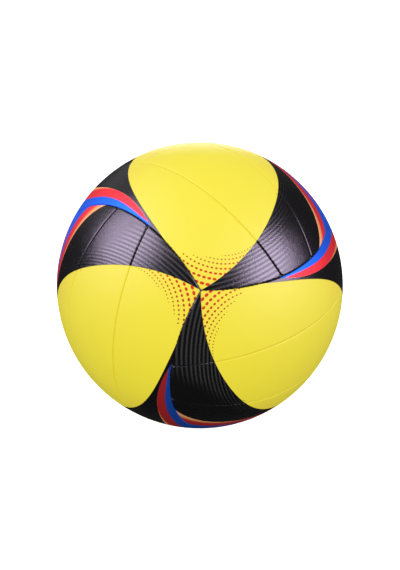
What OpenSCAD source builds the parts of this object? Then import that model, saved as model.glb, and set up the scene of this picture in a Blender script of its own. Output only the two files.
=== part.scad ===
// Volleyball of eighteen stitched panels, three strips on each of six faces, over an air bladder.
// The origin is the centre of the ball. +Z leaves through the top face, +Y through the valve.

/* [Ball] */
// Diameter over the panels
ball_d = 210; // [205:0.5:215]
// Width of each face's middle strip, over the curve, at the middle of the face
middle_strip_w = 49.5; // [44:0.5:56]

/* [Seams] */
// Radius of the rounded shoulder along each panel's edge
shoulder_r = 4; // [3:0.1:5]
// Width of the shoulder, from the panel's wall to the plain surface
shoulder_w = 2; // [1.6:0.1:2.4]
// Height of the shoulder's full round over the ball's surface, which cuts it off
shoulder_rise = 0.01; // [0.005:0.005:0.02]
// Slit between the turned edges of neighbouring panels
seam_gap = 0.2; // [0.1:0.05:0.3]
// Distance by which the slits of the curved seams miss the ball's centre
wall_lean = 2; // [1:0.5:4]
// Diameter of the sewing thread in the seams
thread_d = 0.4; // [0.3:0.05:0.5]
// Clearance of the thread over the shoulders that it lies on
thread_clear = 0.05; // [0.02:0.01:0.1]

/* [Panel layers] */
// Thickness of the synthetic leather
cover_t = 1.2; // [0.9:0.1:1.5]
// Thickness of the foam backing
foam_t = 1.6; // [1.2:0.1:2.4]
// Thickness of the cloth lining
lining_t = 0.6; // [0.4:0.1:0.8]
// Glue line between one layer and the next
glue_t = 0.15; // [0.1:0.05:0.2]

/* [Bladder] */
// Thickness of the bladder's wall
bladder_t = 1; // [0.7:0.1:1.4]

/* [Valve] */
// Diameter of the neck, whose end shows in the cover
neck_d = 9; // [8:0.5:11]
// Depth of the neck's end under the ball's surface
neck_sink = 0.5; // [0.3:0.1:0.8]
// Thickness of the lip that holds the core in the neck
lip_t = 1.5; // [1.2:0.1:2]
// Diameter of the hole in the lip
lip_d = 4; // [3.4:0.2:4.4]
// Diameter of the flange inside the bladder
flange_d = 24; // [20:1:28]
// Thickness of the flange at its rim
flange_t = 1.6; // [1.2:0.1:2.2]
// Diameter of the boss under the flange
boss_d = 13; // [12:0.5:15]
// Length of the boss under the flange
boss_l = 11; // [9:0.5:14]
// Diameter of the core that seals on the needle
core_d = 5; // [4.6:0.1:5.6]
// Length of the core's tapered tip, below the boss
tip_l = 2.5; // [1.5:0.5:4]
// Diameter of the tip's end
tip_d = 3; // [2.6:0.1:3.6]
// Diameter of the needle's hole
needle_d = 2.4; // [2.2:0.1:2.6]
// Depth of the needle's hole
needle_l = 8; // [6:0.5:10]
// Diameter of the cloth patch round the valve
patch_d = 30; // [26:1:34]
// Clearance on the diameter of the neck, the patch and the core in their holes
valve_clear = 0.3; // [0.2:0.05:0.4]

/* [Hidden] */
$fn = 240;
ball_r = ball_d / 2;
// Angle, at the ball's centre, from the middle of a face to its four corners
face_angle = acos(sqrt(1 / 3));
// Angle from the middle of a face to its two long seams
strip_angle = middle_strip_w / ball_d * 180 / PI;
// Angle along a long seam from the middle of the face to the seam's end
seam_reach = acos(cos(face_angle) / cos(strip_angle));
// Depths of the layers under the ball's surface
foam_depth = cover_t + glue_t;
lining_depth = foam_depth + foam_t + glue_t;
bladder_depth = lining_depth + lining_t + glue_t;
lining_in_r = ball_r - lining_depth - lining_t;
bladder_in_r = ball_r - bladder_depth - bladder_t;
// The middle of a shoulder's round is the same for every layer: its distances from the seam and from
// the ball's centre, and the angle between it and the seam there
round_off = seam_gap / 2 + shoulder_w;
round_out = ball_r - shoulder_r + shoulder_rise;
round_angle = asin(round_off / round_out);
// The thread rests in the valley between two shoulders
thread_r = round_out * cos(round_angle)
    + sqrt(pow(shoulder_r + thread_d / 2 + thread_clear, 2) - pow(round_off, 2));
// The sections of what lies beside a seam start well inside the ball and end well outside it
low_r = ball_r / 3;
far_r = 2 * ball_r;
// Valve heights, from the ball's centre
neck_top = ball_r - neck_sink;
core_top = neck_top - lip_t - glue_t;
flange_r = bladder_in_r - glue_t;
flange_low = sqrt(pow(flange_r, 2) - pow(flange_d / 2, 2)) - flange_t;
boss_low = flange_low - boss_l;

// Name and rotation of each face: its own Z axis points outwards and its strips lie along its Y axis
FACES = [
    ["top", [0, 0, -90]],
    ["front", [90, 0, 0]],
    ["right", [180, -90, 0]],
    ["bottom", [180, 0, -90]],
    ["back", [-90, 0, 0]],
    ["left", [0, -90, 0]]
];
// The middle strip of this face carries the valve
VALVE_FACE = "back";
STRIPS = [1, 2, 3];
LAYERS = ["cover", "foam", "lining"];
function panel_name(layer, face, strip) = str(layer, "_", face[0], "_", strip);

function aim(angle) = [sin(angle), cos(angle)];

// Section of what lies on one side of a seam, towards +X, down to depth below the ball's surface. The
// seam is straight up. A wall runs down beside it, and a round shoulder leads from the wall to the
// surface, where the section goes on outwards. With lean the wall passes beside the ball's centre.
module beside_seam(depth, lean) {
    off = seam_gap / 2 + depth;
    over = round_out * aim(round_angle);
    high = 2 * far_r;
    intersection() {
        polygon([[off - lean, 0], [off - lean + lean * high / ball_r, high], [high, high], [high, 0]]);
        union() {
            polygon([[0, 0], over, [over[0], 2 * high], [2 * high, 2 * high], [2 * high, 0]]);
            translate(over) circle(r = shoulder_r - depth);
            polygon([[-round_off, 0], [-round_off, round_out], over, [high, 0]]);
        }
    }
}

// What lies inside the circle round a face, to the depth of the layer
module inside_circle(depth)
    rotate_extrude() intersection() {
        translate([0, low_r]) square(far_r);
        rotate(-face_angle) mirror([1, 0]) beside_seam(depth, wall_lean);
    }

// What lies outside the circle of the neighbouring face towards hand
module neighbour_side(hand, depth)
    rotate([0, 90 * hand, 0]) rotate_extrude() intersection() {
        translate([low_r, -far_r]) square([far_r, 2 * far_r]);
        rotate(-face_angle) beside_seam(depth, -wall_lean);
    }

// What lies towards hand from a straight seam of the face
module strip_side(angle, hand, depth)
    rotate([0, angle + 90 * hand, 0]) rotate_extrude() intersection() {
        translate([low_r, 0]) square(far_r);
        rotate(-90) mirror([1, 0]) beside_seam(depth, 0);
    }

// Space of one strip between its seams, in the face's own frame
module strip_space(strip, depth) {
    intersection() {
        sphere(r = ball_r - depth);
        inside_circle(depth);
        if (strip == 1) neighbour_side(-1, depth);
        else strip_side(strip == 2 ? -strip_angle : strip_angle, 1, depth);
        if (strip == 3) neighbour_side(1, depth);
        else strip_side(strip == 1 ? -strip_angle : strip_angle, -1, depth);
    }
}

module valve_hole(d) cylinder(d = d + valve_clear, h = ball_d);

function has_valve(face, strip) = face[0] == VALVE_FACE && strip == 2;

module cover(face, strip)
    color("gold") rotate(face[1]) difference() {
        strip_space(strip, 0);
        strip_space(strip, cover_t);
        sphere(r = lining_in_r);
        if (has_valve(face, strip)) valve_hole(neck_d);
    }

module foam(face, strip)
    color("ivory") rotate(face[1]) difference() {
        strip_space(strip, foam_depth);
        sphere(r = ball_r - foam_depth - foam_t);
        if (has_valve(face, strip)) valve_hole(neck_d);
    }

module lining(face, strip)
    color("gainsboro") rotate(face[1]) difference() {
        intersection() {
            strip_space(strip, foam_depth);
            sphere(r = ball_r - lining_depth);
        }
        sphere(r = lining_in_r);
        if (has_valve(face, strip)) valve_hole(patch_d);
    }

// Arc of thread round the Z axis, centred on the X axis, at angle from that axis
module thread_arc(angle, half_turn) {
    place = thread_r * aim(angle);
    spare = thread_d / place[0] * 180 / PI;
    rotate([0, 0, spare - half_turn]) rotate_extrude(angle = 2 * (half_turn - spare))
        translate(place) circle(d = thread_d, $fn = 24);
}

module seam_thread()
    color("dimgray") for (face = FACES) rotate(face[1]) for (hand = [-1, 1]) {
        rotate([0, 0, 90 * hand]) thread_arc(face_angle, 45);
        rotate([0, hand * strip_angle - 90, 0]) thread_arc(90, seam_reach);
    }

module bladder()
    color("black") on_valve_axis() difference() {
        sphere(r = ball_r - bladder_depth);
        sphere(r = bladder_in_r);
        valve_hole(neck_d);
    }

module on_valve_axis()
    for (face = FACES) if (face[0] == VALVE_FACE) rotate(face[1]) children();

module valve_patch()
    color("white") on_valve_axis() difference() {
        intersection() {
            sphere(r = ball_r - lining_depth);
            cylinder(d = patch_d, h = ball_d);
        }
        sphere(r = lining_in_r);
        valve_hole(neck_d);
    }

module valve_body()
    color("darkslategray") on_valve_axis() rotate_extrude() difference() {
        union() {
            translate([0, boss_low]) square([neck_d / 2, neck_top - boss_low]);
            translate([0, boss_low]) square([boss_d / 2, boss_l + flange_t / 2]);
            intersection() {
                circle(r = flange_r);
                translate([0, flange_low]) square([flange_d / 2, ball_r]);
            }
        }
        translate([0, boss_low - boss_l])
            square([(core_d + valve_clear) / 2, core_top + glue_t - boss_low + boss_l]);
        square([lip_d / 2, ball_r]);
    }

module valve_core()
    color("black") on_valve_axis() difference() {
        union() {
            translate([0, 0, boss_low]) cylinder(d = core_d, h = core_top - boss_low);
            translate([0, 0, boss_low - tip_l]) cylinder(d1 = tip_d, d2 = core_d, h = tip_l);
        }
        translate([0, 0, core_top - needle_l]) cylinder(d = needle_d, h = ball_r);
    }

for (face = FACES) for (strip = STRIPS) {
    cover(face, strip);
    foam(face, strip);
    lining(face, strip);
}
seam_thread();
bladder();
valve_patch();
valve_body();
valve_core();
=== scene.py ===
import math

import bpy
import numpy as np
from mathutils import Matrix, Vector


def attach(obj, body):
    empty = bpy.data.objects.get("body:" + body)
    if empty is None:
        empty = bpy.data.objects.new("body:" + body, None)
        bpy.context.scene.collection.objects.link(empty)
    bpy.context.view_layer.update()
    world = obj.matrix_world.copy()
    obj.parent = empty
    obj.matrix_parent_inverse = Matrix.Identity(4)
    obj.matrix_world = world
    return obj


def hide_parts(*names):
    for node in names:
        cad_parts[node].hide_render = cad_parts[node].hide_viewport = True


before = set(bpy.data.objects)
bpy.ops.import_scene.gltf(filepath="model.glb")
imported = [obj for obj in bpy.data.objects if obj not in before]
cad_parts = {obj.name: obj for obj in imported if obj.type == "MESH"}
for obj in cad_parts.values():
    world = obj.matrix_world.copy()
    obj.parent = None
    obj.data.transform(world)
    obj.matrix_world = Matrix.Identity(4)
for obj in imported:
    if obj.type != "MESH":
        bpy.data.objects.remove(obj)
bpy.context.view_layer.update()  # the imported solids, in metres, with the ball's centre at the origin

# A volleyball: eighteen printed leather panels, each backed with foam and cloth, over a rubber bladder.
# Lengths are in metres.
mm = 0.001

# The ball and its layers, as the solids have them
ball = {
    "radius": 105 * mm,
    "middleStripWidth": 49.5 * mm,  # over the curve
    "leather": 1.2 * mm,
    "foam": 1.6 * mm,
    "lining": 0.6 * mm,
    "glue": 0.15 * mm,
    "bladder": 1 * mm,
    "neck": 9 * mm,  # the valve's, across
    "patch": 30 * mm,  # the cloth round the valve, across
    "clearance": 0.3 * mm,  # of the neck and the patch in their holes
}
# Each face has three axes: outwards, across its strips, along them.
faceAxes = {
    "top": ((0, 0, 1), (0, -1, 0), (1, 0, 0)),
    "front": ((0, -1, 0), (1, 0, 0), (0, 0, 1)),
    "right": ((1, 0, 0), (0, 0, 1), (0, -1, 0)),
    "bottom": ((0, 0, -1), (0, -1, 0), (-1, 0, 0)),
    "back": ((0, 1, 0), (1, 0, 0), (0, 0, -1)),
    "left": ((-1, 0, 0), (0, 0, 1), (0, 1, 0)),
}
valvePanel = ("back", 2)
radius = ball["radius"]
foamDepth = ball["leather"] + ball["glue"]
liningDepth = foamDepth + ball["foam"] + ball["glue"]
liningInside = liningDepth + ball["lining"]
bladderDepth = liningInside + ball["glue"]
neckHole = ball["neck"] + ball["clearance"]
faceAngle = math.acos(math.sqrt(1 / 3))  # from the middle of a face to its corners
stripAngle = ball["middleStripWidth"] / 2 / radius
sideAngle = math.pi / 2 - faceAngle  # from the middle of a face to its round sides
seamReach = math.acos(math.cos(faceAngle) / math.cos(stripAngle))
roundRadius = radius * math.sin(faceAngle)  # of the circles through the faces' corners

# The long sides of each strip, as (place, turn): the side lies in the plane whose normal is turned by
# turn from the across axis, and it crosses the middle of the face at the angle place.
stripSides = {
    1: ((-sideAngle, 0), (-stripAngle, -stripAngle)),
    2: ((-stripAngle, -stripAngle), (stripAngle, stripAngle)),
    3: ((stripAngle, stripAngle), (sideAngle, 0)),
}


# Small helpers for meshes

sharpFrom = math.radians(50)  # an edge that turns more than this is shaded sharp


def addObject(name, data):
    made = bpy.data.objects.new(name, data)
    bpy.context.scene.collection.objects.link(made)
    return made


def makeMesh(name, points, faces, attributes=None):
    # a mesh object at the origin from arrays of points and of quads, without the points that no quad uses
    used, numbers = np.unique(faces, return_inverse=True)
    points, faces = points[used], numbers.reshape(faces.shape)
    mesh = bpy.data.meshes.new(name)
    mesh.vertices.add(len(points))
    mesh.vertices.foreach_set("co", points.astype(np.float32).ravel())
    mesh.loops.add(faces.size)
    mesh.loops.foreach_set("vertex_index", faces.astype(np.int32).ravel())
    mesh.polygons.add(len(faces))
    mesh.polygons.foreach_set("loop_start", np.arange(0, faces.size, 4, dtype=np.int32))
    mesh.polygons.foreach_set("use_smooth", np.ones(len(faces), bool))
    mesh.update(calc_edges=True)
    mesh.set_sharp_from_angle(angle=sharpFrom)
    for label, values in (attributes or {}).items():
        layer = mesh.attributes.new(label, "FLOAT_VECTOR", "POINT")
        layer.data.foreach_set("vector", values[used].astype(np.float32).ravel())
    return addObject(name, mesh)


def gridFaces(rows, columns, start=0):
    # quads of a grid of points, outwards where rows run across and columns run along
    number = start + np.arange(rows * columns).reshape(rows, columns)
    return np.stack([number[:-1, :-1], number[1:, :-1], number[1:, 1:], number[:-1, 1:]], -1)


def rim(number):
    # the numbers round the edge of a block of grid points, anticlockwise from outside
    return np.concatenate([number[:-1, 0], number[-1, :-1], number[:0:-1, -1], number[0, :0:-1]])


def band(first, second):
    # quads between two closed loops of the same count, whose outside is right of the first one's run
    return np.stack([first, second, np.roll(second, -1), np.roll(first, -1)], -1)


def polar(reach, clock):
    # a direction at an arc of reach over the ball from the middle of the face, at an angle round it:
    # (cos a, sin a cos clock, sin a sin clock), a = reach / R
    angle = np.broadcast_to(reach / radius, clock.shape)
    return np.stack([np.cos(angle), np.sin(angle) * np.cos(clock), np.sin(angle) * np.sin(clock)], -1)


# Seams: where they lie, and how a panel's surface goes down into them

seam = {
    "gap": 0.2 * mm,  # slit between the turned edges of two panels
    "shoulderRadius": 4 * mm,
    "shoulderWidth": 2 * mm,
    "steepest": 0.8,  # greatest share of r^2 that q^2 may reach in the shoulder's round
    "pull": 2,  # on the leather the round's drop is taken (q / width)^(2 pull) times
    "stitchPitch": 3.1 * mm,
    "puckerDepth": 0.05 * mm,
    "puckerWidth": 1 * mm,
}


def seamDistances(p, strip):
    # distances over the ball to the strip's low side, high side and nearer end:
    # R (asin(n.p) - (place - turn)) with its sign for a side, R (faceAngle - acos(p outwards)) for the end
    sides = []
    for (place, turn), sign in zip(stripSides[strip], (1, -1)):
        level = -math.sin(turn) * p[..., 0] + math.cos(turn) * p[..., 1]
        sides.append(sign * radius * (np.arcsin(level) - (place - turn)))
    return sides + [radius * (faceAngle - np.arccos(np.clip(p[..., 0], -1, 1)))]


def seamRuns(p, strip):
    # how far along its seam a point lies, for the low side, high side and end, each from the seam's middle:
    # R atan2(along, outwards in the seam's plane), and on the circles roundRadius times their angle
    runs = []
    for place, turn in stripSides[strip]:
        if turn:
            outward = math.cos(turn) * p[..., 0] + math.sin(turn) * p[..., 1]
            runs.append(radius * np.arctan2(p[..., 2], outward))
        else:
            runs.append(roundRadius * np.arctan2(p[..., 2], p[..., 0]))
    return runs + [roundRadius * np.arctan2(p[..., 1], np.abs(p[..., 2]))]


seamLengths = {"straight": 2 * radius * seamReach, "round": 2 * roundRadius * math.pi / 4}
stitchCounts = {kind: round(length / seam["stitchPitch"]) - 1 for kind, length in seamLengths.items()}


def seamKinds(strip):
    return ["straight" if turn else "round" for place, turn in stripSides[strip]] + ["round"]


def stitchTurn(run, kind):
    # the run over the stitches' spacing, shifted so that it is whole at the middle of each stitch
    return run * (stitchCounts[kind] + 1) / seamLengths[kind] + 0.5 * (stitchCounts[kind] % 2 == 0)


def outwards(p, strip, depth):
    # Distance out: R - depth - drop, where drop = r - sqrt(r^2 - q^2) at q from the shoulder's foot. The
    # leather follows the round only near the wall, by drop (q / width)^(2 pull), and puckers at each stitch
    # by depth (1 + cos(2 pi turn)) / 2 exp(-x / width), x being the distance from the seam.
    distances = seamDistances(p, strip)
    foot = [np.maximum(seam["shoulderWidth"] + seam["gap"] / 2 - x, 0) for x in distances]
    turned = seam["shoulderRadius"] - depth
    q2 = np.minimum(foot[0] ** 2 + foot[1] ** 2 + foot[2] ** 2, seam["steepest"] * turned**2)
    drop = turned - np.sqrt(turned**2 - q2)
    if depth:
        return radius - depth - drop
    out = radius - drop * (q2 / seam["shoulderWidth"] ** 2) ** seam["pull"]
    for x, run, kind in zip(distances, seamRuns(p, strip), seamKinds(strip)):
        wave = 0.5 + 0.5 * np.cos(2 * math.pi * stitchTurn(run, kind))
        out = out - seam["puckerDepth"] * wave * np.exp(-np.maximum(x, 0) / seam["puckerWidth"])
    return out


# Panels: a closed shell for each layer of each strip

shell = {
    "wallRows": 4,  # rows of points down the leather's wall
    "lipRows": 6,  # and over the lip of the valve's hole
    "holeMargin": 2.5 * mm,  # grid that gives way round the hole
    "holeShares": (0.4, 0.75),  # loops between that grid and the lip
}


def panelPoints(strip, inset, depth, cell, hug):
    # Lines across and along the strip lie in planes that turn evenly from one side to the other, and a
    # grid point p is where two planes n1.p = sin(place1 - turn1), n2.p = sin(place2 - turn2) meet the unit
    # ball. Beside the seams the lines lie at the distances in hug from the inset, elsewhere a cell apart.
    def lines(low, high):
        near = [(inset + step) / radius for step in hug]
        start, stop = low[0] + near[-1], high[0] - near[-1]
        even = np.linspace(start, stop, round((high[0] - low[0]) * radius / cell))
        place = np.concatenate([[low[0] + x for x in near[:-1]], even, [high[0] - x for x in near[-2::-1]]])
        return place, np.interp(place, [start, stop], [low[1], high[1]])

    place1, turn1 = (x[:, None] for x in lines(*stripSides[strip]))
    place2, turn2 = (x[None, :] for x in lines((-faceAngle, -math.pi / 2), (faceAngle, math.pi / 2)))
    level1, level2 = np.sin(place1 - turn1), np.sin(place2 - turn2)
    lean = np.sin(turn1) * np.sin(turn2)
    one = (level1 - lean * level2) / (1 - lean**2)
    two = (level2 - lean * level1) / (1 - lean**2)
    three = np.sqrt((1 - one**2 - two**2 - 2 * one * two * lean) / (1 - lean**2))
    p = np.stack(
        [
            -np.sin(turn1) * one - np.sin(turn2) * two + np.cos(turn1) * np.cos(turn2) * three,
            np.cos(turn1) * one + np.sin(turn1) * np.cos(turn2) * three,
            np.cos(turn2) * two + np.cos(turn1) * np.sin(turn2) * three,
        ],
        -1,
    )
    return p, outwards(p, strip, depth)


def cutHole(values, outer, numbers, keep, addLoop):
    # The hole: a block of the grid's quads gives way to loops that close in on a circle, turn over its lip,
    # a quarter round, and go down its wall and out again to the inner grid's block.
    rows, columns = numbers.shape
    gap, lip = values["hole"] / 2, values["lip"]
    outside = radius - values["depth"]
    across = np.abs(np.arctan2(outer[..., 1], outer[..., 0]))[:, columns // 2]
    along = np.abs(np.arctan2(outer[..., 2], outer[..., 0]))[rows // 2]
    block = [np.flatnonzero(x < (gap + shell["holeMargin"]) / radius) for x in (across, along)]
    spans = [slice(x[0] - 1, x[-1] + 2) for x in block]
    keep[spans[0].start : spans[0].stop - 1, spans[1].start : spans[1].stop - 1] = False
    ring = rim(numbers[spans[0], spans[1]])
    spot = outer.reshape(-1, 3)[ring]
    clock = np.arctan2(spot[:, 2], spot[:, 1])
    wide = np.arccos(spot[:, 0]) * radius
    chain = [ring]
    for share in shell["holeShares"]:
        chain.append(addLoop(polar(wide + share * (gap + lip - wide), clock), outside))
    for angle in np.linspace(0, math.pi / 2, shell["lipRows"]):
        out = outside - lip * (1 - math.cos(angle))
        chain.append(addLoop(polar(gap + lip * (1 - math.sin(angle)), clock), out))
    chain.append(addLoop(polar(gap, clock), radius - values["innerDepth"]))
    chain.append(ring + numbers.size)
    return [band(a, b)[..., [0, 3, 2, 1]] for a, b in zip(chain, chain[1:])]


def panelShell(name, face, strip, values, fields=None):
    # a closed shell: the outer grid, the wall down to the foot, the turned edge and the inner grid
    outer, outerOut = panelPoints(strip, values["inset"], values["depth"], values["cell"], values["hug"])
    inner, innerOut = panelPoints(
        strip, values["innerInset"], values["innerDepth"], values["cell"], values["hug"]
    )
    if "plainInside" in values:
        innerOut = np.full(innerOut.shape, radius - values["innerDepth"])
    rows, columns = outer.shape[:2]
    count = rows * columns
    numbers = np.arange(count).reshape(rows, columns)
    directions = [outer.reshape(-1, 3), inner.reshape(-1, 3)]
    distances = [outerOut.ravel(), innerOut.ravel()]
    top, low = gridFaces(rows, columns), gridFaces(rows, columns, count)[..., ::-1]
    keep = np.ones((rows - 1, columns - 1), bool)
    total = 2 * count

    def addLoop(p, out):
        nonlocal total
        directions.append(p)
        distances.append(np.broadcast_to(out, len(p)))
        total += len(p)
        return np.arange(total - len(p), total)

    edge = rim(numbers)
    loops = [edge]
    if "foot" in values:
        high = distances[0][edge]
        for share in np.linspace(0, 1, shell["wallRows"])[1:]:
            loops.append(addLoop(directions[0][edge], high + share * (radius - values["foot"] - high)))
        loops.append(addLoop(directions[1][edge], radius - values["foot"]))
    loops.append(edge + count)
    bands = [band(a, b) for a, b in zip(loops, loops[1:])]
    if values["hole"]:
        bands += cutHole(values, outer, numbers, keep, addLoop)
    p = np.concatenate(directions)
    out = np.concatenate(distances)
    faces = np.concatenate([x.reshape(-1, 4) for x in [top[keep], low[keep]] + bands])
    points = (p * out[:, None]) @ np.array(faceAxes[face], float)
    return makeMesh(name, points, faces, fields(p, out) if fields else None)


# The print, in a face's own axes; it is the same after half a turn about the outward axis

printShape = {
    "leafSide": (0.1466, 0.1868, -0.0238, 0.0745, 0.5366),
    "blackEdge": (0.895, -0.362, -0.107, -0.209),
    "blueEdge": (-1.74, 2.768, -0.967, -0.175, -0.107),
    "blueTail": (0.86, 0.0214),
    "blueTailTo": -0.16,  # the chart's Y up to which the tail runs
    "ribCentre": (0.9869, -0.1502, 0.0592),
    "ribArc": 48.0,  # degrees
    "ribTurns": (-0.008843, 0.7221, 0.235),
    "dotCentre": (0.8724, 0.2573, 0.4155),
    "dotArc": 0.4273,
    "dotLeastArc": 0.01,
    "dotShrink": 0.9167,
    "dotTurn": 0.0795,
    "dotSkew": 0.0039,
    "dotSkewRow": 4,  # the row at which the spokes aren't shifted
    "fadeCentre": (0.9486, 0.2031, 0.2427),
    "fadeArc": (46.2 * mm, 66.7 * mm),
    "fadePower": 0.7,
}


def unit(values):
    return np.array(values) / np.linalg.norm(values)


def halfTurned(p, chosen):
    # the points, with the chosen ones turned half round the outward axis: (x, -y, -z)
    sign = np.where(chosen, -1, 1)
    return p * np.stack([np.ones_like(sign), sign, sign], -1)


def arcFrom(p, centre):
    # angle at the ball's centre: acos(p.centre)
    return np.arccos(np.clip(p @ centre, -1, 1))


def leafInside(p, hand):
    # distance inside one side of the leaf, whose axis runs from corner to corner of the face, by the arcs
    # s along it and t beside it: (side - t) / sqrt(1 + side'^2), side = (faceAngle^2 - s^2) poly(s)
    s = hand * np.arctan2((p[:, 1] + p[:, 2]) / math.sqrt(2), p[:, 0])
    t = hand * np.arcsin((p[:, 2] - p[:, 1]) / math.sqrt(2))
    side = np.polymul(printShape["leafSide"], (-1, 0, faceAngle**2))
    return radius * (np.polyval(side, s) - t) / np.sqrt(1 + np.polyval(np.polyder(side), s) ** 2)


def printFields(p, out, pale=0.0):
    # Leaf: inside both of its sides. Chart: X and Y are p's shares along (-1,1,0) and (1,1,2), turned half
    # round where needed so that across >= along. Wedge edges are polynomials X(Y). Ribs: circles about a
    # point, turns(arc - ribArc). Dots: rings about a point, each smaller than the last by one factor, cut by
    # even spokes, and their size grows with the arc from the fade's centre. pale: share of undyed thread.
    shape = printShape
    leaf = np.minimum(leafInside(p, 1), leafInside(p, -1))
    q = halfTurned(p, p[:, 1] < p[:, 2])
    x = q @ np.array([-1, 1, 0]) / math.sqrt(2)
    y = q @ np.array([1, 1, 2]) / math.sqrt(6)
    tail = np.polyval(shape["blueTail"], y)
    blue = np.where(y > shape["blueTailTo"], np.polyval(shape["blueEdge"], y), tail)
    edges = np.stack([leaf, radius * (x - np.polyval(shape["blackEdge"], y)), radius * (x - blue)], -1)

    ribArc = np.degrees(arcFrom(q, unit(shape["ribCentre"]))) - shape["ribArc"]
    beside = np.degrees(np.arcsin((q[:, 1] - q[:, 2]) / math.sqrt(2)))
    towards = np.degrees(np.arctan2(-(q[:, 1] + q[:, 2]) / math.sqrt(2), q[:, 0]))
    ribs = np.stack([np.polyval(shape["ribTurns"], ribArc), beside, towards], -1)

    t = halfTurned(p, p[:, 1] + p[:, 2] < 0)
    centre = unit(shape["dotCentre"])
    corner = np.ones(3) / math.sqrt(3)
    up = unit(corner - (corner @ centre) * centre)
    arc = np.maximum(arcFrom(t, centre), shape["dotLeastArc"])
    row = 1 + np.log(arc / shape["dotArc"]) / math.log(shape["dotShrink"])
    spoke = np.arctan2(t @ np.cross(centre, up), t @ up)
    column = (spoke - shape["dotSkew"] * (row - shape["dotSkewRow"])) / shape["dotTurn"]
    near, far = shape["fadeArc"]
    size = (radius * arcFrom(t, unit(shape["fadeCentre"])) - near) / (far - near)
    dots = np.stack([row, column, np.sign(size) * np.abs(size) ** shape["fadePower"]], -1)

    place = np.stack([y, (radius - out) / mm, np.broadcast_to(pale, len(p))], -1)
    return {"printEdges": edges / mm, "printRibs": ribs, "printDots": dots, "printPlace": place}


# Node helpers

def addNode(tree, kind, **settings):
    made = tree.nodes.new("ShaderNode" + kind)
    for name, value in settings.items():
        setattr(made, name, value)
    return made


def feed(tree, value, socket):
    # a link from a socket, or else a plain value on it
    if isinstance(value, bpy.types.NodeSocket):
        tree.links.new(value, socket)
    else:
        socket.default_value = value


def calc(tree, operation, *values):
    made = addNode(tree, "Math", operation=operation)
    for value, socket in zip(values, made.inputs):
        feed(tree, value, socket)
    return made.outputs[0]


def times(tree, first, second):
    return calc(tree, "MULTIPLY", first, second)


def plus(tree, start, share, amount):
    # start + share * amount
    return calc(tree, "MULTIPLY_ADD", share, amount, start)


def between(tree, share, first, second):
    # goes from first to second as share goes from 0 to 1
    return calc(tree, "MULTIPLY_ADD", calc(tree, "SUBTRACT", second, first), share, first)


def rise(tree, value, low, high, start=0.0, stop=1.0):
    # goes smoothly from start to stop as value goes from low to high
    made = addNode(tree, "MapRange", interpolation_type="SMOOTHSTEP")
    for item, socket in zip((value, low, high, start, stop), made.inputs):
        feed(tree, item, socket)
    return made.outputs[0]


def mixColour(tree, share, first, second, blend="MIX"):
    made = addNode(tree, "Mix", data_type="RGBA", blend_type=blend)
    sockets = [made.inputs[i] for i in (0, 6, 7)]  # the factor and the two colours
    for item, socket in zip((share, first, second), sockets):
        feed(tree, item, socket)
    return made.outputs[2]


def noise(tree, place, scale, detail, rough):
    made = addNode(tree, "TexNoise")
    feed(tree, place, made.inputs["Vector"])
    for name, value in (("Scale", scale), ("Detail", detail), ("Roughness", rough)):
        feed(tree, value, made.inputs[name])
    return made.outputs[0]


def srgb(red, green, blue):
    # a colour from its picture values of 0 to 255
    return tuple((x / 255) ** 2.2 for x in (red, green, blue)) + (1.0,)


def newGroup(name, inputs, outputs):
    tree = bpy.data.node_groups.new(name, "ShaderNodeTree")
    for label, kind, value in inputs:
        socket = tree.interface.new_socket(name=label, in_out="INPUT", socket_type="NodeSocket" + kind)
        if value is not None:
            socket.default_value = value
    for label, kind in outputs:
        tree.interface.new_socket(name=label, in_out="OUTPUT", socket_type="NodeSocket" + kind)
    start, end = tree.nodes.new("NodeGroupInput"), tree.nodes.new("NodeGroupOutput")
    return tree, start.outputs, end.inputs


def useGroup(tree, group, **values):
    made = addNode(tree, "Group", node_tree=group)
    for name, value in values.items():
        feed(tree, value, made.inputs[name])
    return made.outputs


def newMaterial(name):
    material = bpy.data.materials.new(name)
    material.use_nodes = True
    tree = material.node_tree
    shader = tree.nodes["Principled BSDF"]
    place = addNode(tree, "TexCoord").outputs["Object"]
    return material, tree, shader, place


def addBump(tree, shader, height, strength, distance):
    bump = addNode(tree, "Bump")
    bump.inputs["Strength"].default_value = strength
    bump.inputs["Distance"].default_value = distance
    feed(tree, height, bump.inputs["Height"])
    feed(tree, bump.outputs[0], shader.inputs["Normal"])


# Groups that several finishes share. A rise is written (low, high) or (low, high, start, stop), and the
# detail and roughness of a noise as a pair.

pebble = {
    "scale": 1200.0,
    "tooth": 0.3,
    "smoothness": 0.6,
    "fineScale": 2.3,  # times the cells'
    "fine": (3.0, 0.6),
    "fleckAndSparkle": (0.56, 0.72),
}


def makePebbleGroup():
    # leather's and rubber's fine skin: rounded cells with creases between them, and a fine tooth on top
    tree, get, put = newGroup(
        "pebbleGrain",
        [("Place", "Vector", None), ("Scale", "Float", pebble["scale"]),
         ("Tooth", "Float", pebble["tooth"])],
        [("Height", "Float"), ("Fleck", "Float")],
    )
    cells = addNode(tree, "TexVoronoi", feature="SMOOTH_F1")
    feed(tree, get["Place"], cells.inputs["Vector"])
    feed(tree, get["Scale"], cells.inputs["Scale"])
    cells.inputs["Smoothness"].default_value = pebble["smoothness"]
    fine = noise(tree, get["Place"], times(tree, get["Scale"], pebble["fineScale"]), *pebble["fine"])
    dome = calc(tree, "SUBTRACT", 1.0, cells.outputs["Distance"])
    feed(tree, plus(tree, dome, fine, get["Tooth"]), put["Height"])
    feed(tree, rise(tree, fine, *pebble["fleckAndSparkle"]), put["Fleck"])
    return tree


wear = {
    "scale": 14.0,
    "slow": (3.0, 0.5),
    "tone": (0.3, 0.7),
    "fastScale": 9.0,  # times the slow one's
    "fast": (5.0, 0.65),
    "scuff": (0.55, 0.75),
}


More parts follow.
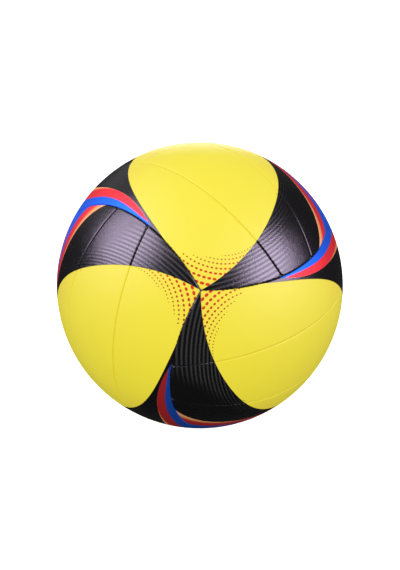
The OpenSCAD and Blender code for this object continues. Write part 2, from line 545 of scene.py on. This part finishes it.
def makeDriftGroup():
    # slow change of tone over a piece, and faint scuffs
    tree, get, put = newGroup(
        "slowDrift",
        [("Place", "Vector", None), ("Scale", "Float", wear["scale"])],
        [("Tone", "Float"), ("Scuff", "Float")],
    )
    slow = noise(tree, get["Place"], get["Scale"], *wear["slow"])
    feed(tree, rise(tree, slow, *wear["tone"]), put["Tone"])
    fast = noise(tree, get["Place"], times(tree, get["Scale"], wear["fastScale"]), *wear["fast"])
    feed(tree, rise(tree, fast, *wear["scuff"]), put["Scuff"])
    return tree


pebbleGrain, slowDrift = makePebbleGroup(), makeDriftGroup()


# The print's colours and edges over the whole ball

leather = {
    "yellow": (0.89, 0.765, 0.019, 1.0),
    "warm": (0.92, 0.62, 0.025, 1.0),
    "blue": (0.014, 0.15, 0.80, 1.0),
    "red": (0.90, 0.042, 0.05, 1.0),
    "peach": (1.0, 0.47, 0.16, 1.0),
    "black": (0.058, 0.056, 0.059, 1.0),
    "rib": (0.098, 0.097, 0.100, 1.0),
    "groove": (0.020, 0.020, 0.020, 1.0),
    "dotNear": (0.80, 0.05, 0.001, 1.0),
    "dotFar": (0.38, 0.11, 0.001, 1.0),
    "back": srgb(205, 200, 188),
    # painted shade in the slit of each seam: down there the print is darkened towards this colour, less on
    # the yellow
    "slitShade": (0.0, 0.0, 0.0, 1.0),
    "blackMetal": 0.93,
    "ribMetal": 0.65,
    "colourMetal": 0.8,
    "dotMetal": 0.6,
    "peachMetal": -0.4,  # added to the colours'
    "plainRough": 0.6,
    "colourRough": 0.55,
    "blackRough": 0.27,
    "scuffRough": 0.06,
    "fleckRough": -0.06,
    "slitShadeDepth": (0.75, 1.0),  # mm down the seam
    "slitShadeShare": 0.75,
    "slitShadeLeafShare": -0.65,  # added to it on the yellow
    "slitShadeDark": 0.85,
    "backDepth": (1.1, 1.15),  # mm down the seam, where the leather's back starts
    "grainScale": 1400.0,
    "grainHeight": 0.3,
    "blackHeight": 1.9,  # added to it on the black
    "ribHeight": 0.6,
    "bump": (0.3, 0.12 * mm),
}

printLook = {
    "blur": 0.12,  # mm on each side of an edge
    "peachWidth": (0.35, -0.3, 0.0, 6.5),  # mm, by the chart's Y
    "peachLeast": 0.02,  # mm
    "peachFade": (1.0, 0.1),  # in widths from the black
    "ribBeside": (35.0, 27.0),  # degrees beside the leaf's axis
    "ribTowards": (-3.0, 7.0),  # degrees along it
    "ribReach": (30.0, 46.0, -17.0, -34.0),  # by the same degrees, mm from the leaf
    "ribEnd": (1.0, 0.4),  # shares of that reach
    "ribCrest": (-0.6, 1.0),
    "ribFaint": (14.0, 38.0, 0.6, 1.0),
    "groove": (0.3, -1.0, 0.0, 0.7),
    "grooveFaint": (26.0, 42.0, 1.0, 0.45),
    # share of the grain's flecks on the black, partly grain tone and partly painted sparkle
    "fleckAndSparkle": 0.5,
    "dotLong": (0.16, 0.28),  # half length in spokes: the least, and what full size adds
    "dotWide": (0.14, 0.11),  # half width in rows, alike
    "dotEdge": (1.3, 0.7),
    "dotStart": (0.0, 0.06),
    "firstRow": (0.55, 0.6),
    "warmTone": 0.06,
    "warmTip": 0.4,
}


def readPrint(tree, name):
    # the three values of one attribute of the print
    source = addNode(tree, "Attribute", attribute_name=name)
    split = addNode(tree, "SeparateXYZ")
    feed(tree, source.outputs["Vector"], split.inputs[0])
    return split.outputs


def ribPattern(tree, leafEdge):
    # shares of crest and of groove: rises of cos(2 pi turns), faded at the sides, the start and the end
    look = printLook
    turns, beside, towards = readPrint(tree, "printRibs")
    wave = calc(tree, "COSINE", times(tree, turns, 2 * math.pi))
    mask = times(tree, rise(tree, beside, *look["ribBeside"]), rise(tree, towards, *look["ribTowards"]))
    reach = rise(tree, towards, *look["ribReach"])
    mask = times(tree, mask, rise(tree, calc(tree, "DIVIDE", leafEdge, reach), *look["ribEnd"]))
    rib = times(tree, rise(tree, wave, *look["ribCrest"]), mask)
    rib = times(tree, rib, rise(tree, towards, *look["ribFaint"]))
    groove = times(tree, rise(tree, wave, *look["groove"]), mask)
    return rib, times(tree, groove, rise(tree, towards, *look["grooveFaint"]))


def dotPattern(tree):
    # ovals about the whole rows and spokes: long^2 + wide^2 below 1, both in half widths of the dot
    look = printLook
    row, column, grown = readPrint(tree, "printDots")
    size = calc(tree, "MINIMUM", calc(tree, "MAXIMUM", grown, 0.0), 1.0)

    def offCentre(number, least, more):
        off = calc(tree, "SUBTRACT", calc(tree, "FRACT", calc(tree, "ADD", number, 0.5)), 0.5)
        return calc(tree, "DIVIDE", off, plus(tree, least, size, more))

    long, wide = offCentre(column, *look["dotLong"]), offCentre(row, *look["dotWide"])
    away = calc(tree, "ADD", times(tree, long, long), times(tree, wide, wide))
    dot = times(tree, rise(tree, away, *look["dotEdge"]), rise(tree, grown, *look["dotStart"]))
    return size, times(tree, dot, rise(tree, row, *look["firstRow"]))


def makePrintGroup():
    # the print over the whole ball, read from the attributes of the panels and of the thread
    tree, get, put = newGroup(
        "ballPrint",
        [("Fleck", "Float", 0.0), ("Tone", "Float", 0.0)],
        [("Colour", "Color"), ("Metal", "Float"), ("Black", "Float"), ("Leaf", "Float"), ("Rib", "Float"),
         ("Depth", "Float"), ("Pale", "Float")],
    )
    look, blur = printLook, printLook["blur"]
    leafEdge, blackEdge, blueEdge = readPrint(tree, "printEdges")
    chartY, depth, pale = readPrint(tree, "printPlace")

    # wedge: black, then red, then blue; the red goes over to peach beside the black, towards its far tip
    colour = mixColour(tree, rise(tree, blueEdge, -blur, blur), leather["red"], leather["blue"])
    peachWidth = rise(tree, chartY, *look["peachWidth"])
    peach = calc(tree, "DIVIDE", blackEdge, calc(tree, "MAXIMUM", peachWidth, look["peachLeast"]))
    peach = rise(tree, peach, *look["peachFade"])
    peach = times(tree, peach, rise(tree, blueEdge, blur, -blur))
    colour = mixColour(tree, peach, colour, leather["peach"])
    rib, groove = ribPattern(tree, leafEdge)
    dark = mixColour(tree, rib, leather["black"], leather["rib"])
    dark = mixColour(tree, groove, dark, leather["groove"])
    # lighter flecks on the black: partly the grain's own tone, partly painted sparkle
    dark = mixColour(tree, times(tree, get["Fleck"], look["fleckAndSparkle"]), dark, leather["rib"])
    isBlack = rise(tree, blackEdge, blur, -blur)
    colour = mixColour(tree, isBlack, colour, dark)
    darkMetal = plus(tree, leather["blackMetal"], rib, leather["ribMetal"] - leather["blackMetal"])
    plainMetal = plus(tree, leather["colourMetal"], peach, leather["peachMetal"])
    metal = between(tree, isBlack, plainMetal, darkMetal)

    # leaf: yellow, warmer towards the tips, with dots on rings and spokes
    size, dot = dotPattern(tree)
    warm = leather["warm"]
    yellow = mixColour(tree, times(tree, get["Tone"], look["warmTone"]), leather["yellow"], warm)
    yellow = mixColour(tree, times(tree, size, look["warmTip"]), yellow, warm)
    yellow = mixColour(tree, dot, yellow, mixColour(tree, size, leather["dotFar"], leather["dotNear"]))
    isLeaf = rise(tree, leafEdge, -blur, blur)
    inked = calc(tree, "SUBTRACT", 1.0, isLeaf)

    feed(tree, mixColour(tree, isLeaf, colour, yellow), put["Colour"])
    feed(tree, between(tree, inked, times(tree, dot, leather["dotMetal"]), metal), put["Metal"])
    feed(tree, times(tree, isBlack, inked), put["Black"])
    feed(tree, isLeaf, put["Leaf"])
    feed(tree, times(tree, rib, inked), put["Rib"])
    feed(tree, depth, put["Depth"])
    feed(tree, pale, put["Pale"])
    return tree


ballPrint = makePrintGroup()


# Finishes

def makePrintedLeather():
    # the print with the leather's grain, painted shade that darkens it down the seam's slit, and a back of
    # bare cloth
    material, tree, shader, place = newMaterial("printedLeather")
    grain = useGroup(tree, pebbleGrain, Place=place, Scale=leather["grainScale"])
    drift = useGroup(tree, slowDrift, Place=place)
    ink = useGroup(tree, ballPrint, Fleck=grain["Fleck"], Tone=drift["Tone"])

    # painted shade: the print goes darker down the seam's slit, where shade falls, less on the yellow
    slitShade = rise(tree, ink["Depth"], *leather["slitShadeDepth"])
    slitShade = times(tree, slitShade, plus(tree, leather["slitShadeShare"], ink["Leaf"], leather["slitShadeLeafShare"]))
    dark = mixColour(tree, leather["slitShadeDark"], ink["Colour"], leather["slitShade"])
    colour = mixColour(tree, slitShade, ink["Colour"], dark)
    bare = rise(tree, ink["Depth"], *leather["backDepth"])
    colour = mixColour(tree, bare, colour, leather["back"])
    feed(tree, colour, shader.inputs["Base Color"])
    shine = times(tree, ink["Metal"], calc(tree, "SUBTRACT", 1.0, bare))
    feed(tree, shine, shader.inputs["Metallic"])
    start = leather["colourRough"]
    rough = plus(tree, start, ink["Leaf"], leather["plainRough"] - start)
    rough = plus(tree, rough, ink["Black"], leather["blackRough"] - start)
    rough = plus(tree, rough, drift["Scuff"], leather["scuffRough"])
    rough = plus(tree, rough, grain["Fleck"], leather["fleckRough"])
    feed(tree, rough, shader.inputs["Roughness"])
    swell = plus(tree, leather["grainHeight"], ink["Black"], leather["blackHeight"])
    height = plus(tree, times(tree, grain["Height"], swell), ink["Rib"], leather["ribHeight"])
    addBump(tree, shader, height, *leather["bump"])
    return material


cloth = {
    "lining": (srgb(226, 224, 216), srgb(168, 165, 156)),  # light and shade
    "patch": (srgb(214, 208, 194), srgb(140, 134, 120)),
    "waveScale": 1600.0 / 6,
    "distortion": 0.6,
    "thirdWave": 0.5,  # added to it
    "weave": 0.4,
    "scuff": 0.2,
    "driftScale": 30.0,
    "rough": 0.9,
    "bump": (0.5, 0.15 * mm),
}


def makeCloth(name, light, shade):
    # plain weave: the sum of two waves times the third, one along each axis of the object's coordinates
    material, tree, shader, place = newMaterial(name)
    waves = []
    for axis in ("X", "Y", "Z"):
        wave = addNode(tree, "TexWave", wave_type="BANDS", bands_direction=axis)
        feed(tree, place, wave.inputs["Vector"])
        wave.inputs["Scale"].default_value = cloth["waveScale"]
        wave.inputs["Distortion"].default_value = cloth["distortion"]
        waves.append(wave.outputs["Fac"])
    third = calc(tree, "ADD", waves[2], cloth["thirdWave"])
    weave = times(tree, calc(tree, "ADD", waves[0], waves[1]), third)
    drift = useGroup(tree, slowDrift, Place=place, Scale=cloth["driftScale"])
    colour = mixColour(tree, times(tree, weave, cloth["weave"]), shade, light)
    colour = mixColour(tree, times(tree, drift["Scuff"], cloth["scuff"]), colour, shade)
    feed(tree, colour, shader.inputs["Base Color"])
    shader.inputs["Roughness"].default_value = cloth["rough"]
    addBump(tree, shader, weave, *cloth["bump"])
    return material


foam = {
    "poreShade": srgb(150, 142, 118),
    "wall": srgb(228, 222, 198),
    "aged": srgb(236, 226, 180),
    "noiseScale": 1400.0,
    "noise": (3.0, 0.6),
    "poresAndShade": (0.35, 0.6),
    "age": 0.25,
    "driftScale": 22.0,
    "rough": 0.95,
    "bump": (0.6, 0.2 * mm),
}


def makeFoam():
    # open cells: a fine noise pits the surface, and painted shade darkens its pores
    material, tree, shader, place = newMaterial("foamBacking")
    poresAndShade = rise(tree, noise(tree, place, foam["noiseScale"], *foam["noise"]), *foam["poresAndShade"])
    drift = useGroup(tree, slowDrift, Place=place, Scale=foam["driftScale"])
    # painted shade in the pores, which the same noise also dents
    colour = mixColour(tree, poresAndShade, foam["poreShade"], foam["wall"])
    colour = mixColour(tree, times(tree, drift["Tone"], foam["age"]), colour, foam["aged"])
    feed(tree, colour, shader.inputs["Base Color"])
    shader.inputs["Roughness"].default_value = foam["rough"]
    addBump(tree, shader, poresAndShade, *foam["bump"])
    return material


rubber = {
    # tint, bloom, roughness and scale of the tooth
    "bladder": (srgb(26, 26, 28), srgb(70, 70, 74), 0.52, 900.0),
    "valve": (srgb(38, 38, 40), srgb(92, 92, 94), 0.5, 2200.0),
    "core": (srgb(20, 20, 20), srgb(84, 84, 84), 0.42, 3000.0),
    "tooth": 0.6,
    "dust": 0.6,
    "scuffRough": 0.12,
    "driftScale": 26.0,
    "bump": (0.2, 0.08 * mm),
}


def makeRubber(name, tint, bloom, rough, scale):
    # moulded rubber: a fine tooth, with a dusty bloom in places
    material, tree, shader, place = newMaterial(name)
    grain = useGroup(tree, pebbleGrain, Place=place, Scale=scale, Tooth=rubber["tooth"])
    drift = useGroup(tree, slowDrift, Place=place, Scale=rubber["driftScale"])
    dust = times(tree, times(tree, drift["Tone"], drift["Scuff"]), rubber["dust"])
    feed(tree, mixColour(tree, dust, tint, bloom), shader.inputs["Base Color"])
    feed(tree, plus(tree, rough, drift["Scuff"], rubber["scuffRough"]), shader.inputs["Roughness"])
    addBump(tree, shader, grain["Height"], *rubber["bump"])
    return material


thread = {
    "pale": srgb(200, 197, 192),
    "dark": (0.006, 0.006, 0.007, 1.0),
    "shadeAndScuff": srgb(60, 56, 54),
    "darkShare": 0.95,
    "fibreScale": 5200.0,
    "fibre": (2.0, 0.7),
    "shade": 0.3,
    "leafShade": -0.25,  # added to it on the yellow
    "scuff": 0.05,
    "driftScale": 60.0,
    "rough": 0.85,
    "specular": 0.2,
    "bump": (0.4, 0.05 * mm),
}


def makeThreadFinish():
    # waxed twist in the colour of the print beside it, and undyed in one seam, with painted shade between
    # the fibres
    material, tree, shader, place = newMaterial("waxedThread")
    ink = useGroup(tree, ballPrint)
    fibres = noise(tree, place, thread["fibreScale"], *thread["fibre"])
    drift = useGroup(tree, slowDrift, Place=place, Scale=thread["driftScale"])
    dyed = mixColour(tree, times(tree, ink["Black"], thread["darkShare"]), ink["Colour"], thread["dark"])
    colour = mixColour(tree, times(tree, ink["Pale"], ink["Black"]), dyed, thread["pale"])
    shade = times(tree, fibres, plus(tree, thread["shade"], ink["Leaf"], thread["leafShade"]))
    # painted shade between the fibres, less on the yellow
    colour = mixColour(tree, shade, colour, thread["shadeAndScuff"], "MULTIPLY")
    colour = mixColour(tree, times(tree, drift["Scuff"], thread["scuff"]), colour, thread["shadeAndScuff"])
    feed(tree, colour, shader.inputs["Base Color"])
    shader.inputs["Roughness"].default_value = thread["rough"]
    shader.inputs["Specular IOR Level"].default_value = thread["specular"]
    addBump(tree, shader, fibres, *thread["bump"])
    return material


finishes = {"leather": makePrintedLeather(), "foam": makeFoam(), "thread": makeThreadFinish()}
for kind in ("lining", "patch"):
    finishes[kind] = makeCloth(kind + "Cloth", *cloth[kind])
for kind in ("bladder", "valve", "core"):
    finishes[kind] = makeRubber(kind + "Rubber", *rubber[kind])
print("finishes made:", len(finishes))


# Camera, lights and floor come before the pieces

view = {
    "towards": (0.561, -0.570, 0.600),  # from the ball's centre to the camera
    "right": (0.702, 0.712, 0.020),
    "distance": 0.480,
    "aside": (0.00014, 0.0002),  # to the right and up
    "lens": 40.35,
    "sensor": 36.0,
    "clip": (0.01, 20.0),
}


def makeCamera():
    # at a distance from the ball's centre along back, and a little aside
    back = Vector(view["towards"]).normalized()
    right = Vector(view["right"])
    right = (right - right.dot(back) * back).normalized()
    up = back.cross(right)
    data = bpy.data.cameras.new("photoCamera")
    data.lens = view["lens"]
    data.sensor_width = view["sensor"]
    data.sensor_fit = "AUTO"
    data.clip_start, data.clip_end = view["clip"]
    made = addObject("photoCamera", data)
    made.matrix_world = Matrix.Translation(
        back * view["distance"] + right * view["aside"][0] + up * view["aside"][1]
    ) @ Matrix((right, up, back)).transposed().to_4x4()
    bpy.context.scene.camera = made
    return right, up, back


cameraAxes = makeCamera()

studio = {
    "background": 1.0,
    "soft": (-0.9, 0.1, 0.52, 1.31),  # what matt surfaces get, by the Z of its direction
    "gloss": (0.03, 0.40),  # the least and the most that shiny surfaces mirror of the surroundings
    "glossRight": (0.6, 0.0),  # where they mirror it, in shares of the camera's own axes
    "glossUp": (0.25, 0.62),
    "glossBack": (-0.95, -0.6),
    "tint": (1.04, 0.87, 1.18),
    # shares of right, up and back in the camera's own axes, distance, width, power; a box either lights
    # matt surfaces or is mirrored, tinted, in shiny ones
    "softBoxes": {
        "boxLeft": ((-0.76, 0.48, 0.44), 0.9, 0.80, 9.6, "glossy"),
        "boxRight": ((0.78, 0.20, 0.58), 0.9, 0.70, 8.8, "glossy"),
        "boxBack": ((0.0, 0.57, -0.82), 1.0, 0.4, 4.0, "glossy"),
        "boxFront": ((-0.05, 0.12, 1.0), 1.2, 1.0, 1.2, "diffuse"),
    },
}


def makeSky():
    # the surroundings: one strength for matt surfaces, one for shiny ones and one for the camera
    world = bpy.data.worlds.new("studioSky")
    bpy.context.scene.world = world
    world.use_nodes = True
    tree = world.node_tree
    tree.nodes.clear()
    sight = addNode(tree, "TexCoord").outputs["Generated"]
    split = addNode(tree, "SeparateXYZ")
    feed(tree, sight, split.inputs[0])
    path = addNode(tree, "LightPath").outputs
    strength = rise(tree, split.outputs[2], *studio["soft"])
    shares = []
    for axis in cameraAxes:
        share = addNode(tree, "VectorMath", operation="DOT_PRODUCT")
        feed(tree, sight, share.inputs[0])
        feed(tree, tuple(axis), share.inputs[1])
        shares.append(share.outputs["Value"])
    right, up, back = shares
    gloss = times(tree, rise(tree, up, *studio["glossUp"]), rise(tree, back, *studio["glossBack"]))
    gloss = times(tree, gloss, rise(tree, right, *studio["glossRight"]))
    least, most = studio["gloss"]
    gloss = plus(tree, least, gloss, most - least)
    for mask, value in (("Is Glossy Ray", gloss), ("Is Camera Ray", studio["background"])):
        strength = between(tree, path[mask], strength, value)
    light = addNode(tree, "Background")
    feed(tree, strength, light.inputs["Strength"])
    out = addNode(tree, "OutputWorld")
    feed(tree, light.outputs[0], out.inputs[0])


def makeBoxes():
    # round area lights that face the ball
    for name, (shares, distance, width, power, kind) in studio["softBoxes"].items():
        data = bpy.data.lights.new(name, "AREA")
        data.shape = "DISK"
        data.size = width
        data.energy = power
        data.color = studio["tint"] if kind == "glossy" else (1, 1, 1)
        made = addObject(name, data)
        aim = sum((axis * share for axis, share in zip(cameraAxes, shares)), Vector()).normalized()
        made.location = aim * distance
        made.rotation_euler = aim.to_track_quat("Z", "Y").to_euler()
        made.visible_glossy = kind == "glossy"
        made.visible_diffuse = kind == "diffuse"


floor = {
    "radius": 3.0,
    "leastShare": 0.001,  # of the first circle, before the shares are squared
    "rings": 12,
    "turns": 64,
    "tone": srgb(250, 250, 250),
    "otherTone": srgb(246, 246, 247),
    "drift": 0.1,
    "driftScale": 2.0,
    "rough": 0.8,
    "glowColour": (1.0, 1.0, 1.0, 1.0),
    "glow": 0.85,
}


def makeFloor():
    # a round sheet under the ball: circles whose radius grows as the square of even shares
    rings = floor["radius"] * np.linspace(floor["leastShare"], 1, floor["rings"]) ** 2
    turns = np.linspace(0, 2 * math.pi, floor["turns"], endpoint=False)
    x, y = rings[:, None] * np.cos(turns), rings[:, None] * np.sin(turns)
    points = np.stack(np.broadcast_arrays(x, y, -radius), -1).reshape(-1, 3)
    loops = np.arange(len(points)).reshape(rings.size, turns.size)
    faces = np.concatenate([band(a, b) for a, b in zip(loops, loops[1:])])
    material, tree, shader, place = newMaterial("paleFloor")
    drift = useGroup(tree, slowDrift, Place=place, Scale=floor["driftScale"])
    tone = mixColour(tree, times(tree, drift["Tone"], floor["drift"]), floor["tone"], floor["otherTone"])
    feed(tree, tone, shader.inputs["Base Color"])
    shader.inputs["Roughness"].default_value = floor["rough"]
    shader.inputs["Emission Color"].default_value = floor["glowColour"]
    shader.inputs["Emission Strength"].default_value = floor["glow"]
    made = makeMesh("paleFloor", points, faces)
    made.data.materials.append(material)
    made.visible_diffuse = made.visible_glossy = False


makeSky()
makeBoxes()
makeFloor()
bpy.context.scene.view_settings.view_transform = "Standard"
print("camera, lights and floor made")


# Leather, foam and lining of each strip. inset is from the seam's middle, and depth from the ball's
# surface; foot is where the leather's wall ends, hug the distances of the grid's lines from the panel's
# edge, and lip the round at the hole's edge.

coverHug = [x * mm for x in (0, 0.12, 0.3, 0.5, 0.75, 1.0, 1.3, 1.65, 2.1, 2.7)]
softHug = [x * mm for x in (0, 0.5, 1.2, 2.2)]
edgeInset = seam["gap"] / 2
layers = {
    "cover": {
        "piece": "leather_panel", "slot": "synthetic_leather", "finish": "leather",
        "inset": edgeInset, "depth": 0, "foot": liningInside,
        "innerInset": edgeInset + ball["leather"], "innerDepth": ball["leather"],
        "cell": 1 * mm, "hug": coverHug, "hole": neckHole, "lip": 0.5 * mm,
    },
    "foam": {
        "piece": "foam_pad", "slot": "foam", "finish": "foam",
        "inset": edgeInset + foamDepth, "depth": foamDepth,
        "innerInset": edgeInset + foamDepth, "innerDepth": foamDepth + ball["foam"], "plainInside": True,
        "cell": 4 * mm, "hug": softHug, "hole": neckHole, "lip": 0.3 * mm,
    },
    "lining": {
        "piece": "lining_cloth", "slot": "lining_cloth", "finish": "lining",
        "inset": edgeInset + foamDepth, "depth": liningDepth,
        "innerInset": edgeInset + foamDepth, "innerDepth": liningInside, "plainInside": True,
        "cell": 4 * mm, "hug": softHug, "hole": ball["patch"] + ball["clearance"], "lip": 0.05 * mm,
    },
}
# flat size and area of each strip's lining
sideCut, middleCut = ((0.043, 0.188), 0.0064), ((0.045, 0.192), 0.0074)
liningCut = {1: sideCut, 2: middleCut, 3: sideCut}


def settle(piece, slot, finish, *nodes):
    # the piece's finish, its body and the solids that it stands for
    piece.data.materials.append(finishes[finish])
    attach(piece, "root")
    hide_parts(*nodes)


for layer, values in layers.items():
    fields = printFields if layer == "cover" else None
    for face in faceAxes:
        for strip in stripSides:
            chosen = values if (face, strip) == valvePanel else {**values, "hole": 0}
            piece = panelShell(f"{values['piece']}_{face}_{strip}", face, strip, chosen, fields)
            settle(piece, values["slot"], values["finish"], f"{layer}_{face}_{strip}")
            if layer == "lining":
                size, area = liningCut[strip]
    print(layer, "pieces made")


# Sewing thread

stitch = {
    "length": 2.3 * mm,
    "thickness": 0.4 * mm,
    "sink": 0.32 * mm,  # from the ball's surface to the middle of the thread
    "dip": 0.3 * mm,
    "taper": 0.55,
    "sides": 6,  # an even number
    "rings": 5,
    "step": 0.01 * mm,  # over which the seam's direction is taken
    "undyed": ("right", "straight", 1),  # face, kind and side of the one seam sewn with undyed thread
    "undyedTo": 82 * mm,
    "undyedFade": 22 * mm,
}


def seamFrame(kind, side, face, run):
    # point on the unit ball at a run along the seam: on a great circle stripAngle beside the face's middle,
    # or on the circle through its corners, at one end of its strips
    axes = np.array(faceAxes[face], float)
    if kind == "straight":
        angle = run / radius
        base = np.array([math.cos(stripAngle), side * math.sin(stripAngle), 0]) @ axes
        return np.cos(angle)[..., None] * base + np.sin(angle)[..., None] * axes[2]
    angle = run / roundRadius
    flat = np.sin(angle)[..., None] * axes[1] + side * np.cos(angle)[..., None] * axes[2]
    return math.cos(faceAngle) * axes[0] + math.sin(faceAngle) * flat


def makeStitches():
    # each stitch is a round section carried along a short arc over the seam, whose ends dip into it:
    # height = -sink - dip u^4, half thickness = t/2 (1 - taper u^6), u from -1 to 1 along the stitch
    u = np.linspace(-1, 1, stitch["rings"])
    sides = stitch["sides"]
    clock = np.arange(sides) * 2 * math.pi / sides
    thick = stitch["thickness"] / 2 * (1 - stitch["taper"] * u**6)
    out = radius - stitch["sink"] - stitch["dip"] * u**4
    blocks, fields = [], []
    for kind in ("straight", "round"):
        count = stitchCounts[kind]
        middle = seamLengths[kind] * (np.arange(1, count + 1) / (count + 1) - 0.5)
        run = middle[:, None] + u * stitch["length"] / 2
        for face in faceAxes:
            for side in (-1, 1):
                p = seamFrame(kind, side, face, run)
                along = seamFrame(kind, side, face, run + stitch["step"]) - p
                along /= np.linalg.norm(along, axis=-1, keepdims=True)
                across = np.cross(along, p)
                ring = np.cos(clock)[:, None] * p[..., None, :]
                ring = ring + np.sin(clock)[:, None] * across[..., None, :]
                blocks.append((p * out[:, None])[..., None, :] + thick[:, None, None] * ring)
                spot = np.repeat((p @ np.array(faceAxes[face], float).T).reshape(-1, 3), sides, 0)
                pale = np.clip((stitch["undyedTo"] - run) / stitch["undyedFade"], 0, 1)
                pale = np.repeat(pale.ravel(), sides) * ((face, kind, side) == stitch["undyed"])
                fields.append(printFields(spot, np.full(len(spot), radius), pale))
    points = np.concatenate(blocks)
    numbers = np.arange(points.size // 3).reshape(points.shape[:3])
    here, ahead = numbers[:, :-1], numbers[:, 1:]
    skin = np.stack([here, np.roll(here, -1, -1), np.roll(ahead, -1, -1), ahead], -1).reshape(-1, 4)
    first, last = numbers[:, 0], numbers[:, -1]
    caps = [first[:, [0, k + 2, k + 1, k]] for k in range(sides - 3, 0, -2)]
    caps += [last[:, [0, k, k + 1, k + 2]] for k in range(1, sides - 2, 2)]
    ink = {name: np.concatenate([x[name] for x in fields]) for name in fields[0]}
    return makeMesh("seam_stitches", points.reshape(-1, 3), np.concatenate([skin] + caps), ink)


settle(makeStitches(), "thread", "thread", "seam_thread")
print("stitches made")


# Bladder and the cloth patch round the valve

inside = {
    "bladderRows": 140,
    "bladderTurns": 160,
    "farHole": 1e-3,  # angle of the pinhole that the grid's rows leave at the bladder's far side
    "patchRows": 12,
    "patchTurns": 96,
}


def turnedShell(name, outer, inner, reach, steps, turns):
    # a section carried round the valve's axis: R (sin a, cos a) on the outer sphere, a from the neck's hole
    # to reach, and back on the inner one
    angle = np.linspace(math.asin(neckHole / 2 / outer), reach, steps)
    profile = np.concatenate(
        [
            np.stack([outer * np.sin(angle), outer * np.cos(angle)], -1),
            np.stack([inner * np.sin(angle[::-1]), inner * np.cos(angle[::-1])], -1),
        ]
    )
    clock = np.arange(turns) * 2 * math.pi / turns
    out, high = profile[:, None, 0], profile[:, None, 1]
    points = np.stack(np.broadcast_arrays(out * np.sin(clock), high, out * np.cos(clock)), -1)
    numbers = np.arange(points.size // 3).reshape(len(profile), turns)
    faces = np.concatenate([band(a, b) for a, b in zip(numbers, np.roll(numbers, -1, 0))])
    return makeMesh(name, points.reshape(-1, 3), faces[:, ::-1])


bladderOuter = radius - bladderDepth
bladder = turnedShell(
    "bladder_skin", bladderOuter, bladderOuter - ball["bladder"],
    math.pi - inside["farHole"], inside["bladderRows"], inside["bladderTurns"],
)
settle(bladder, "bladder_rubber", "bladder", "bladder")

patchOuter = radius - liningDepth
patch = turnedShell(
    "valve_patch_cloth", patchOuter, patchOuter - ball["lining"],
    math.asin(ball["patch"] / 2 / patchOuter), inside["patchRows"], inside["patchTurns"],
)
settle(patch, "lining_cloth", "patch", "valve_patch")

# the valve's own solids are shown, with the scene's finishes
for name, finish in (("valve_body", "valve"), ("valve_core", "core")):
    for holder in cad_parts[name].material_slots:
        holder.material = finishes[finish]
print("inside made")
